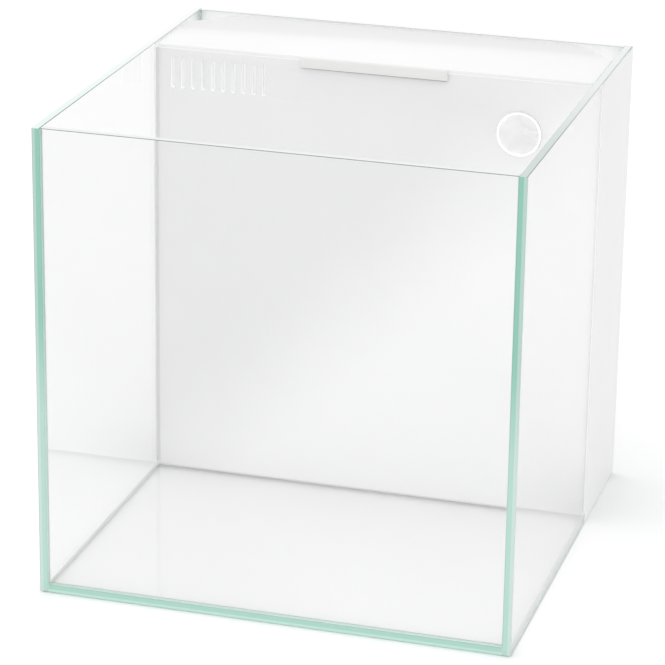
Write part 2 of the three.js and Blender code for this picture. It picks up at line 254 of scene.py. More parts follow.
@dataclass(frozen=True)
class Gradient(Finish):
    """A colour that changes along one direction: painted light and shade, as of light running
    inside glass edges and of shade falling across the false wall.

    Attributes:
        high: The colour far along the direction.
        low: The colour before that.
        along: The direction.
        turn: Where the change starts and ends along it, in metres.
        streaks: How fine the streaks are along X, Y and Z, in cycles per metre.
        roughness: How rough the surface is.
        contrast: How much the streaks show.
        index: The refractive index.
        shine: How much the surface mirrors.
    """

    high: Colour
    low: Colour
    along: tuple[float, float, float] = (0.0, 0.0, 1.0)
    turn: tuple[float, float] = (0.13, 0.24)
    streaks: tuple[float, float, float] = (160.0, 160.0, 9.0)
    roughness: float = 0.15
    contrast: float = 0.18
    index: float = 1.45
    shine: float = 0.3

    def make(self, shader: Shader) -> Shader:
        """Makes the change of colour, with faint streaks or drifts in it.

        Args:
            shader: The shader to dress.

        Returns:
            The same shader.
        """
        where = shader.add("TexCoord")
        reach = shader.add("VectorMath", operation="DOT_PRODUCT")
        reach.inputs[1].default_value = self.along
        shader.link(where.outputs["Object"], reach.inputs[0])
        fade = shader.add("MapRange", interpolation_type="SMOOTHSTEP")
        fade.inputs["From Min"].default_value, fade.inputs["From Max"].default_value = self.turn
        shader.link(reach.outputs["Value"], fade.inputs["Value"])
        streak = shader.add("MapRange")
        streak.inputs["To Min"].default_value = -self.contrast
        streak.inputs["To Max"].default_value = self.contrast
        shader.link(shader.noise(self.streaks, 2.0), streak.inputs["Value"])
        both = shader.add("Math", operation="ADD", use_clamp=True)
        shader.link(fade.outputs["Result"], both.inputs[0])
        shader.link(streak.outputs["Result"], both.inputs[1])
        shader.blend(both.outputs["Value"], self.low, self.high, (0.0, 1.0))
        shader.set(Roughness=self.roughness, IOR=self.index, Specular_IOR_Level=self.shine)
        return shader


@dataclass(frozen=True)
class Satin(Finish):
    """Moulded, cast or coated plastic, rubber and silicone, with a fine grain.

    Attributes:
        colour: The colour at its palest.
        roughness: How rough the surface is.
        grain: How fine the grain is, in cycles per metre.
        depth: How deep the grain is, in metres.
        shade: How pale the surface is at its darkest, as a share of the colour.
        glow: How much it glows with the light that it takes in.
        passes: How much light one face leaves, or none to shut light out.
        alpha: How much of it is seen, where it is clear.
        drift: How fast the shade changes, in cycles per metre.
        spread: How much the roughness varies, as a share.
    """

    colour: Colour
    roughness: float
    grain: float = 700.0
    depth: float = 0.00004
    # glow: How much painted light it gives off: an even glow, though it is no lamp.
    shade: float = 0.96
    glow: float = 0.0
    passes: float = 0.0
    alpha: float = 1.0
    drift: float = 14.0
    spread: float = 0.1

    def make(self, shader: Shader) -> Shader:
        """Makes the grain, a slow drift of shade, the painted glow and the light that a sheet
        passes on.

        Args:
            shader: The shader to dress.

        Returns:
            The same shader.
        """
        # Painted light: the emission is an even glow, though the part is no lamp.
        shader.set(Alpha=self.alpha, Emission_Color=(1.0, 1.0, 1.0, 1.0),
                   Emission_Strength=self.glow)
        low = tuple(self.shade * part for part in self.colour)
        shader.blend(shader.noise((self.drift,) * 3), low, self.colour)
        fine = shader.noise((self.grain,) * 3, 2.0)
        shader.roughen(fine, self.roughness * (1 - self.spread),
                       self.roughness * (1 + self.spread))
        shader.bump(fine, self.depth, 0.5)
        if self.passes:
            shader.let_light_through(self.passes)
        return shader


@dataclass(frozen=True)
class Foam(Finish):
    """Open foam or floss: cells of two sizes with painted shade in the hollows between them."""

    dark: Colour
    light: Colour
    cells: float
    depth: float
    hollows: tuple[float, float] = (0.15, 0.6)
    roughness: float = 0.95
    sheen: float = 0.15

    def make(self, shader: Shader) -> Shader:
        """Makes round pores from a cell pattern, with painted shade in their hollows.

        Args:
            shader: The shader to dress.

        Returns:
            The same shader.
        """
        cells = shader.add("TexVoronoi", Scale=1.0)
        shader.link(shader.place((self.cells,) * 3), cells.inputs["Vector"])
        distance = cells.outputs["Distance"]
        # Painted shade: the hollows of the cell pattern are darker.
        shader.blend(distance, self.dark, self.light, self.hollows)
        shader.bump(distance, self.depth)
        shader.set(Roughness=self.roughness, Sheen_Weight=self.sheen)
        return shader


# One clear glass. The darker copies for the right pane, seen aslant, and for the bottom pane are
# painted shade.
GLASS = ClearSheet("pane_glass", "glass", (0.954, 0.957, 0.955))
GLASS_ASLANT = ClearSheet("pane_glass_aslant", "glass", (0.860, 0.864, 0.861))
FLOOR_GLASS = ClearSheet("pane_glass_floor", "glass", (0.928, 0.931, 0.928))
# The green of the edges is the glass's own. Painted light and shade: the edges darken towards the
# top, the outer part of each edge and of the bottom pane's front edge is paler, the rims pale
# towards the back, the left and right rims have their own shades, and the arrises darken towards
# the front.
DEEP_EDGE = Gradient("glass_edge_inner", "glass", (0.28, 0.56, 0.46), (0.47, 0.69, 0.61))
PALE_EDGE = Gradient("glass_edge_outer", "glass", (0.46, 0.63, 0.57), (0.58, 0.73, 0.67))
FLOOR_EDGE = Gradient("glass_floor_edge", "glass", (0.76, 0.80, 0.78), (0.76, 0.80, 0.78))
FOOT_INNER = Gradient("glass_foot_inner", "glass", (0.42, 0.65, 0.57), (0.42, 0.65, 0.57))
FOOT_OUTER = Gradient("glass_foot_outer", "glass", (0.53, 0.77, 0.68), (0.53, 0.77, 0.68))
RIM_EDGE = Gradient("glass_rim", "glass", (0.84, 0.85, 0.85), (0.76, 0.77, 0.77), TO_BACK,
                    DISPLAY_DEPTH, SLOW)
LEFT_RIM = Gradient("glass_rim_left", "glass", (0.82, 0.85, 0.84), (0.72, 0.82, 0.79), TO_BACK,
                    DISPLAY_DEPTH, SLOW)
RIGHT_RIM = Gradient("glass_rim_right", "glass", (0.74, 0.77, 0.76), (0.53, 0.60, 0.58),
                     TO_BACK, (-0.16, 0.12), SLOW)
ARRIS = Gradient("glass_arris", "glass", (0.50, 0.53, 0.52), (0.20, 0.24, 0.23), TO_BACK,
                 DISPLAY_DEPTH, SLOW)
SILICONE = Satin("silicone", "silicone", (0.72, 0.72, 0.71), 0.3, 500.0)
# Painted shade: the false wall pales from its upper left towards its lower right, as the studio's
# light falls on it.
WALL = Gradient("opal_wall", "opal_acrylic", (0.94, 0.94, 0.94), (0.795, 0.795, 0.795),
                TO_LOWER_RIGHT, (-0.27, -0.08), SLOW, 0.35)
OPAL = Satin("opal_sheet", "opal_acrylic", (0.845, 0.845, 0.845), 0.3, 900.0, 0.00002, 0.985,
             passes=0.95)
# Painted light: a paler, glowing copy of the opal sheet for its cut faces that face up or to the
# right.
LIT_OPAL_CUT = Satin("opal_cut_painted_light", "opal_acrylic", (0.93, 0.93, 0.93), 0.4, 900.0, 0.00002,
                 0.99, 0.15)
FILM = Satin("white_film", "film", (0.85, 0.85, 0.85), 0.5, 1200.0, 0.00002, 0.985,
             passes=0.95)
# Painted light: the films' inner faces are paler and glow, standing in for light that scatters
# through the film.
FILM_LIT = Satin("white_film_inside", "film", (0.88, 0.88, 0.88), 0.5, 1200.0, 0.00002, 0.985,
                 0.28, passes=0.95)
GRIP = Satin("grip_strip", "grip", (0.78, 0.78, 0.77), 0.45)
# Painted shadow: a dark copy of the grip plastic for the strip's lower faces, for the shadow line
# under it.
GRIP_SHADOW = Satin("grip_painted_shadow", "grip", (0.22, 0.22, 0.22), 0.5)
# Painted light: the cup's inner faces, its front rim and the riser glow, though they are no lamp.
CLEAR = Satin("clear_acrylic", "clear_acrylic", (0.96, 0.96, 0.96), 0.08, 300.0, 0.00001,
              0.99, alpha=0.4)
CLEAR_LIT = Satin("clear_acrylic_inside", "clear_acrylic", (0.96, 0.96, 0.96), 0.08, 300.0,
                  0.00001, 0.99, 0.15, alpha=0.6)
CLEAR_PIPE = Satin("clear_pipe", "clear_acrylic", (0.96, 0.97, 0.97), 0.08, 300.0, 0.00001,
                   0.99, 0.1, alpha=0.1)
CLEAR_RIM_GLOW = Satin("clear_rim_painted_glow", "clear_acrylic", (0.97, 0.97, 0.97), 0.3, 900.0, 0.00002,
                  0.99, 0.3)
COARSE = Foam("open_foam", "foam", (0.50, 0.52, 0.53), (0.80, 0.81, 0.81), 420.0, 0.0012)
FLOSS = Foam("filter_floss", "filter_floss", (0.80, 0.80, 0.77), (0.91, 0.91, 0.88),
             900.0, 0.0006)
MEDIA = Foam("sintered_ceramic", "ceramic_media", (0.62, 0.57, 0.49), (0.82, 0.78, 0.70),
             1500.0, 0.0003)
BASKET = Satin("basket_plastic", "basket_plastic", (0.86, 0.865, 0.865), 0.45)
PUMP = Satin("pump_plastic", "pump_plastic", (0.66, 0.68, 0.69), 0.45)
ROTOR = Satin("rotor_plastic", "rotor", (0.09, 0.095, 0.10), 0.5)
SHAFT = Satin("ceramic_shaft", "shaft", (0.88, 0.86, 0.83), 0.25)
RUBBER = Satin("black_rubber", "rubber", (0.012, 0.012, 0.013), 0.7)

# ------------------------------------------------------------------ making pieces


def finish_piece(name: str, bm: bmesh.types.BMesh, body: str, nodes: Sequence[str],
                 finishes: Sequence[Finish], smooth: float = 35.0) -> bpy.types.Object:
    """Turns a bmesh into a piece of the object.

    Args:
        name: The piece's name.
        bm: Its mesh, in place; it is freed.
        body: The body that it moves with.
        nodes: The CAD nodes that it stands for.
        finishes: One finish for each material index of its faces.
        smooth: The angle in degrees below which two faces are shaded as one.

    Returns:
        The piece's object.
    """
    for face in bm.faces:
        face.smooth = True
    for edge in bm.edges:
        if len(edge.link_faces) == 2:
            edge.smooth = edge.calc_face_angle(0.0) < math.radians(smooth)
    mesh = bpy.data.meshes.new(name)
    bm.to_mesh(mesh)
    bm.free()
    piece = bpy.data.objects.new(name, mesh)
    bpy.context.scene.collection.objects.link(piece)
    for finish in finishes:
        mesh.materials.append(finish.material())
    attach(piece, body)
    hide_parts(*nodes)
    LOG.info("%s: %d faces, moves with %s", name, len(mesh.polygons), body)
    return piece


def block(low: Sequence[float], high: Sequence[float]) -> bmesh.types.BMesh:
    """Makes a box between two corners.

    Args:
        low: The lowest corner.
        high: The highest corner.

    Returns:
        A new bmesh that holds it.
    """
    bm = bmesh.new()
    low, high = Vector(low), Vector(high)
    place = Matrix.Translation((low + high) / 2) @ Matrix.Diagonal((*(high - low), 1.0))
    bmesh.ops.create_cube(bm, size=1.0, matrix=place)
    return bm


def soften(bm: bmesh.types.BMesh, edges: Sequence[bmesh.types.BMEdge], width: float,
           segments: int = 2) -> None:
    """Bevels edges to a small round or arris.

    Args:
        bm: The mesh.
        edges: The edges to bevel.
        width: The bevel's width, in metres.
        segments: How many faces it has.
    """
    bmesh.ops.bevel(bm, geom=list(edges), offset=width, offset_type="OFFSET", segments=segments,
                    profile=0.5, affect="EDGES", material=-1, clamp_overlap=True)


def sharp_edges(bm: bmesh.types.BMesh, degrees: float = 40.0) -> list[bmesh.types.BMEdge]:
    """Finds the edges where two faces meet at more than an angle.

    Args:
        bm: The mesh.
        degrees: The angle.

    Returns:
        Its sharp edges.
    """
    limit = math.radians(degrees)
    return [edge for edge in bm.edges if edge.calc_face_angle(0.0) > limit]


# ------------------------------------------------------------------ the glass


class PaneFace(IntEnum):
    """The kinds of face on a pane, by the index of their finish."""

    CLEAR = 0
    INNER_EDGE = 1
    OUTER_EDGE = 2
    FLOOR_EDGE = 3
    RIM = 4
    ARRIS = 5


@dataclass
class GlassBox:
    """The five panes, with ground arrises and a hair of silicone between them."""

    joint: float = 0.06 * MM
    arris: float = 0.4 * MM
    # The share of the thickness, from the outer face, that gets the paler painted edge.
    outer_share: float = 0.42
    outward: dict[str, Vector] = field(default_factory=lambda: {
        "front_pane": Vector((0, -1, 0)), "back_pane": Vector((0, 1, 0)),
        "left_pane": Vector((-1, 0, 0)), "right_pane": Vector((1, 0, 0)),
        "bottom_pane": Vector((0, 0, -1))})
    # Painted shade: darker copies of the glass for the right and bottom panes.
    clears: dict[str, Finish] = field(default_factory=lambda: {
        "right_pane": GLASS_ASLANT, "bottom_pane": FLOOR_GLASS})
    # Painted shade: the left and right rims get their own shades.
    rims: dict[str, Finish] = field(default_factory=lambda: {
        "left_pane": LEFT_RIM, "right_pane": RIGHT_RIM})

    def trimmed(self, node: str) -> Box:
        """Gives a pane's box with the joints' gaps taken off where it meets other panes.

        Args:
            node: The pane's CAD node.

        Returns:
            The box's lowest and highest corner.
        """
        low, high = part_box(node)
        if node in ("front_pane", "back_pane", "bottom_pane"):
            low.x += self.joint
            high.x -= self.joint
        if node in ("front_pane", "back_pane"):
            low.z += self.joint
        return low, high

    def kind(self, node: str, normal: Vector, outside: bool) -> PaneFace:
        """Says what kind of face one face of a pane is, which picks the painted light and shade
        of its edge finish.

        Args:
            node: The pane's CAD node.
            normal: The face's normal.
            outside: Whether the face lies in the outer part of the pane's thickness.

        Returns:
            Its kind.
        """
        edge = PaneFace.OUTER_EDGE if outside else PaneFace.INNER_EDGE
        across = normal.dot(self.outward[node])
        if abs(across) > FACING:
            return PaneFace.CLEAR
        if node == "bottom_pane":
            hidden = abs(normal.x) > LEANING or normal.y > LEANING
            return PaneFace.FLOOR_EDGE if hidden else edge
        if node == "front_pane" and normal.z < LEANING:
            return PaneFace.OUTER_EDGE
        if node == "right_pane" and abs(normal.z) < LEANING:
            return edge
        if abs(across) > LEANING:
            shows = across > 0 or normal.z > LEANING
            return PaneFace.ARRIS if shows else PaneFace.INNER_EDGE
        if abs(normal.z) > LEANING:
            return PaneFace.RIM if normal.z > 0 else PaneFace.FLOOR_EDGE
        return edge

    def pane(self, node: str) -> bpy.types.Object:
        """Makes one pane with its faces clear and its edges green, with painted light and shade
        on the edges.

        Args:
            node: The pane's CAD node.

        Returns:
            The pane.
        """
        low, high = self.trimmed(node)
        out = self.outward[node]
        bm = block(low, high)
        soften(bm, bm.edges[:], self.arris, 1)
        depth = abs((high - low).dot(out))
        surface = max(low.dot(out), high.dot(out))
        split = out * (surface - self.outer_share * depth)
        bmesh.ops.bisect_plane(bm, geom=bm.verts[:] + bm.edges[:] + bm.faces[:],
                               plane_co=split, plane_no=out)
        bm.normal_update()
        for face in bm.faces:
            outside = face.calc_center_median().dot(out) > split.dot(out)
            face.material_index = self.kind(node, face.normal, outside)
        # The right and bottom panes take their painted-shade copies of the glass.
        clear = self.clears.get(node, GLASS)
        rim = self.rims.get(node, RIM_EDGE)
        edges = [FOOT_INNER, FOOT_OUTER] if node == "bottom_pane" else [DEEP_EDGE, PALE_EDGE]
        return finish_piece(node + "_glass", bm, "tank", [node],
                            [clear, *edges, FLOOR_EDGE, rim, ARRIS])

    def build(self) -> None:
        """Makes the five panes."""
        for node in self.outward:
            self.pane(node)


@dataclass
class Beads:
    """The silicone beads, each wiped to a narrow hollow."""

    steps: int = 6
    share: float = 0.36
    upright: dict[str, tuple[int, float]] = field(default_factory=lambda: {
        "front_left_bead": (0, 0.3), "front_right_bead": (1, 0.3),
        "back_right_bead": (2, 0.5), "back_left_bead": (3, 0.5),
        "wall_left_bead": (3, 0.8), "wall_right_bead": (2, 0.6)})

    def hollow(self, leg: float) -> list[tuple[float, float]]:
        """Gives a bead's hollow face, as an arc between the ends of its two legs.

        Args:
            leg: The legs' length.

        Returns:
            The arc's points, as distances along the first leg and the second.
        """
        turns = [math.radians(270 - 90 * step / self.steps) for step in range(self.steps + 1)]
        return [(leg + leg * math.cos(angle), leg + leg * math.sin(angle)) for angle in turns]

    def section(self, bm: bmesh.types.BMesh, corner: Vector, leg: float, quarters: int
                ) -> list[bmesh.types.BMVert]:
        """Draws a bead's section: two straight legs and a hollow arc.

        Args:
            bm: The mesh to draw it in.
            corner: Where the two legs meet.
            leg: Their length.
            quarters: Quarter turns about Z from legs along +X and +Y.

        Returns:
            The section's corners in order.
        """
        turn = Matrix.Rotation(quarters * math.pi / 2, 3, "Z")
        points = [(0, 0), *self.hollow(leg)]
        return [bm.verts.new(corner + turn @ Vector((*point, 0))) for point in points]

    def standing(self, node: str, quarters: int, share: float) -> None:
        """Makes an upright bead in a corner.

        Args:
            node: The CAD node that it stands for.
            quarters: Quarter turns about Z from a corner whose legs run along +X and +Y.
            share: How much of the node's width it takes.
        """
        low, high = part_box(node)
        corner = Vector((low.x if quarters in (0, 3) else high.x,
                         low.y if quarters in (0, 1) else high.y, low.z))
        bm = bmesh.new()
        face = bm.faces.new(self.section(bm, corner, (high.x - low.x) * share, quarters))
        raised = bmesh.ops.extrude_face_region(bm, geom=[face])
        tops = [item for item in raised["geom"] if isinstance(item, bmesh.types.BMVert)]
        bmesh.ops.translate(bm, verts=tops, vec=(0, 0, high.z - low.z))
        bmesh.ops.recalc_face_normals(bm, faces=bm.faces[:])
        finish_piece(node + "_smooth", bm, "tank", [node], [SILICONE], 60.0)

    def lying(self, node: str) -> None:
        """Makes a bead that runs round a floor, mitred at its four corners.

        Args:
            node: The CAD node that it stands for.
        """
        low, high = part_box(node)
        leg = (high.z - low.z) * self.share
        corners = [(low.x, low.y, 1, 1), (high.x, low.y, -1, 1), (high.x, high.y, -1, -1),
                   (low.x, high.y, 1, -1)]
        bm = bmesh.new()
        rings = []
        for x, y, inward_x, inward_y in corners:
            rings.append([bm.verts.new((x + inward_x * out, y + inward_y * out, low.z + up))
                          for out, up in [(0, 0), *self.hollow(leg)]])
        for ring, following in zip(rings, rings[1:] + rings[:1]):
            for place in range(len(ring)):
                after = (place + 1) % len(ring)
                bm.faces.new((ring[place], ring[after], following[after], following[place]))
        bmesh.ops.recalc_face_normals(bm, faces=bm.faces[:])
        finish_piece(node + "_smooth", bm, "tank", [node], [SILICONE], 60.0)

    def build(self) -> None:
        """Makes every bead."""
        for node, (quarters, share) in self.upright.items():
            self.standing(node, quarters, share)
        for node in ("display_floor_bead", "chamber_floor_bead"):
            self.lying(node)


# ------------------------------------------------------------------ the opal sheets


@dataclass
class FalseWall:
    """The opal wall with its comb and round hole, cut from one sheet."""

    count: int = 10
    first: float = -160.75 * MM
    pitch: float = 8.25 * MM
    slot_width: float = 2.8 * MM
    slot_z: tuple[float, float] = (324 * MM, 348.5 * MM)
    hole_x: float = 117 * MM
    hole_z: float = 313.5 * MM
    hole_radius: float = 17.4 * MM
    arris: float = 0.3 * MM
    round_steps: int = 96
    end_steps: int = 10
    # How much a face must face up or to the right to get the painted light.
    bright: float = 0.5

    def loop(self, bm: bmesh.types.BMesh, points: Sequence[tuple[float, float]], y: float
             ) -> list[bmesh.types.BMEdge]:
        """Draws a closed line in the wall's front plane.

        Args:
            bm: The mesh to draw it in.
            points: Its corners as X and Z.
            y: The plane's place.

        Returns:
            Its edges.
        """
        verts = [bm.verts.new((x, y, z)) for x, z in points]
        return [bm.edges.new(pair) for pair in zip(verts, verts[1:] + verts[:1])]

    def slot(self, x: float) -> list[tuple[float, float]]:
        """Gives the outline of one comb slot, round at both ends.

        Args:
            x: Where its middle is.

        Returns:
            The outline's corners as X and Z.
        """
        radius = self.slot_width / 2
        points = []
        for centre, start in ((self.slot_z[0] + radius, 180), (self.slot_z[1] - radius, 0)):
            for step in range(self.end_steps + 1):
                angle = math.radians(start + 180 * step / self.end_steps)
                points.append((x + radius * math.cos(angle), centre + radius * math.sin(angle)))
        return points

    def build(self) -> None:
        """Cuts the sheet, gives it its thickness, and paints light on the cut faces that face up
        or to the right: a paler colour with a glow.
        """
        low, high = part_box("false_wall")
        bm = bmesh.new()
        outline = [(low.x, low.z), (high.x, low.z), (high.x, high.z), (low.x, high.z)]
        edges = self.loop(bm, outline, low.y)
        for number in range(self.count):
            edges += self.loop(bm, self.slot(self.first + number * self.pitch), low.y)
        turn = [2 * math.pi * step / self.round_steps for step in range(self.round_steps)]
        edges += self.loop(bm, [(self.hole_x + self.hole_radius * math.cos(angle),
                                 self.hole_z + self.hole_radius * math.sin(angle))
                                for angle in turn], low.y)
        bmesh.ops.triangle_fill(bm, use_beauty=True, use_dissolve=False, edges=edges)
        raised = bmesh.ops.extrude_face_region(bm, geom=bm.faces[:])
        backs = [item for item in raised["geom"] if isinstance(item, bmesh.types.BMVert)]
        bmesh.ops.translate(bm, verts=backs, vec=(0, high.y - low.y, 0))
        bmesh.ops.recalc_face_normals(bm, faces=bm.faces[:])
        # Painted light: the faces that face up or to the right get the paler, glowing finish.
        for face in bm.faces:
            if max(face.normal.x, face.normal.z) > self.bright:
                face.material_index = 1
        soften(bm, sharp_edges(bm), self.arris, 2)
        finish_piece("opal_false_wall", bm, "tank", ["false_wall"], [WALL, LIT_OPAL_CUT])


@dataclass
class OpalPlates:
    """The dividers and lid rests behind the wall, each with softened edges."""

    arris: float = 0.4 * MM

    def build(self) -> None:
        """Makes the plates."""
        for node in ("left_divider", "right_divider", "left_lid_rest", "right_lid_rest"):
            bm = block(*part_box(node))
            soften(bm, bm.edges[:], self.arris)
            finish_piece(node + "_plate", bm, "tank", [node], [OPAL])


@dataclass
class Lid:
    """The chamber's cover, with cut corners, and the strip it is lifted by."""

    corner: float = 35 * MM
    arris: float = 0.5 * MM
    grip_round: float = 1.4 * MM

    def cover(self) -> None:
        """Makes the sheet with its two rear corners cut off."""
        low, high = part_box("lid")
        bm = block(low, high)
        rear = [edge for edge in bm.edges
                if all(vert.co.y > high.y - MM for vert in edge.verts)
                and abs(edge.verts[0].co.z - edge.verts[1].co.z) > MM]
        soften(bm, rear, self.corner, 1)
        soften(bm, sharp_edges(bm, 30.0), self.arris)
        finish_piece("chamber_lid", bm, "lid", ["lid"], [OPAL])

    def grip(self) -> None:
        """Makes the strip under the lid's front edge, with a painted shadow on its lower faces.
        """
        bm = block(*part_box("lid_grip"))
        soften(bm, bm.edges[:], self.grip_round, 3)
        bm.normal_update()
        # Painted shadow: the faces that lean downwards get the dark finish.
        for face in bm.faces:
            if face.normal.z < -LEANING:
                face.material_index = 1
        finish_piece("lid_grip_strip", bm, "lid", ["lid_grip"], [GRIP, GRIP_SHADOW])

    def build(self) -> None:
        """Makes the cover and its strip."""
        self.cover()
        self.grip()


@dataclass
class Films:
    """The white films outside the chamber, a hair off the glass, with painted light on their
    inner faces for the light that shines through them.
    """

    gap: float = 0.06 * MM
    corner: float = 0.1 * MM
    inward: dict[str, Vector] = field(default_factory=lambda: {
        "left_film": Vector((1, 0, 0)), "right_film": Vector((-1, 0, 0)),
        "back_film": Vector((0, -1, 0))})

    def build(self) -> None:
        """Makes the three films."""
        for node, inward in self.inward.items():
            low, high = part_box(node)
            if sum(inward) > 0:
                high -= self.gap * inward
            else:
                low -= self.gap * inward
            bm = block(low, high)
            soften(bm, bm.edges[:], self.corner, 1)
            bm.normal_update()
            # Painted light: the face towards the chamber gets the paler, glowing finish.
            for face in bm.faces:
                if face.normal.dot(inward) > FACING:
                    face.material_index = 1
            finish_piece(node + "_sheet", bm, "tank", [node], [FILM, FILM_LIT])


# ------------------------------------------------------------------ the return outlet


@dataclass
class ReturnOutlet:
    """A short clear cup lying in the wall's hole, and the riser that feeds it from below."""

    wall: float = 1.3 * MM
    steps: int = 64
    rim_round: float = 0.45 * MM
    pole: float = 0.4 * MM
    fit: float = 0.3 * MM
    socket_wall: float = 2.2 * MM
    riser_wall: float = 2 * MM
    weld: float = 0.01 * MM

    def turned(self, bm: bmesh.types.BMesh, profile: Sequence[Vector], centre: Vector,
               axis: Vector) -> None:
        """Spins a closed profile into a ring or a cup.

        Args:
            bm: The mesh to make it in.
            profile: The profile's corners in order.
            centre: A point on the axis.
            axis: The axis.
        """
        verts = [bm.verts.new(point) for point in profile]
        edges = [bm.edges.new(pair) for pair in zip(verts, verts[1:] + verts[:1])]
        bmesh.ops.spin(bm, geom=verts + edges, cent=centre, axis=axis, dvec=(0, 0, 0),
                       angle=2 * math.pi, steps=self.steps, use_merge=True)

    def tube(self, bm: bmesh.types.BMesh, centre: Vector, radii: tuple[float, float],
             span: tuple[float, float], lip: float = 0.3 * MM) -> None:
        """Makes an upright tube with softened ends.

        Args:
            bm: The mesh to make it in.
            centre: A point on its axis.
            radii: Its inner and outer radius.
            span: The heights of its ends.
            lip: How much its ends' corners are cut.
        """
        (inner, outer), (foot, top) = radii, span
        profile = [(inner, foot + lip), (inner + lip, foot), (outer - lip, foot),
                   (outer, foot + lip), (outer, top - lip), (outer - lip, top),
                   (inner + lip, top), (inner, top - lip)]
        self.turned(bm, [Vector((centre.x + radius, centre.y, z)) for radius, z in profile],
                    Vector((centre.x, centre.y, 0)), Vector((0, 0, 1)))

    def cup(self) -> None:
        """Makes the cup with a painted glow on its front rim and inner faces, and its socket."""
        low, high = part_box("return_outlet")
        pipe_low, pipe_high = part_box("riser_pipe")
        outer = (high.x - low.x) / 2
        inner = outer - self.wall
        centre = Vector(((low.x + high.x) / 2, low.y, high.z - outer))
        front, back, lip, pole = low.y, high.y, self.rim_round, self.pole
        profile = [(inner, back - self.wall), (inner, front + lip), (inner + lip, front),
                   (outer - lip, front), (outer, front + lip), (outer, back - lip),
                   (outer - lip, back), (pole, back), (pole, back - self.wall)]
        bm = bmesh.new()
        self.turned(bm, [Vector((centre.x + radius, y, centre.z)) for radius, y in profile],
                    centre, Vector((0, 1, 0)))
        bore = (pipe_high.x - pipe_low.x) / 2 + self.fit
        socket_top = centre.z - outer + self.wall / 2
        self.tube(bm, (pipe_low + pipe_high) / 2, (bore, bore + self.socket_wall),
                  (low.z, socket_top + self.wall / 2))
        bmesh.ops.remove_doubles(bm, verts=bm.verts[:], dist=self.weld)
        bmesh.ops.recalc_face_normals(bm, faces=bm.faces[:])
        bm.normal_update()
        for face in bm.faces:
            middle = face.calc_center_median()
            inwards = face.normal.dot(centre + Vector((0, middle.y - centre.y, 0)) - middle)
            # Painted light: the front rim and the inner faces get the glowing finishes.
            if middle.y < front + lip:
                face.material_index = 1
            elif middle.z > socket_top and (inwards > 0.1 * inner or face.normal.y < -FACING):
                face.material_index = 2
        finish_piece("clear_return_outlet", bm, "tank", ["return_outlet"],
                     [CLEAR, CLEAR_RIM_GLOW, CLEAR_LIT])

    def riser(self) -> None:
        """Makes the pipe from the pump up to the cup."""
        low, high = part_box("riser_pipe")
        outer = (high.x - low.x) / 2
        bm = bmesh.new()
        self.tube(bm, (low + high) / 2, (outer - self.riser_wall, outer), (low.z, high.z))
        bmesh.ops.recalc_face_normals(bm, faces=bm.faces[:])
        # Painted light: the riser glows faintly.
        finish_piece("clear_riser", bm, "tank", ["riser_pipe"], [CLEAR_PIPE])

    def build(self) -> None:
        """Makes the cup and its riser."""
        self.cup()
        self.riser()


# ------------------------------------------------------------------ filter media


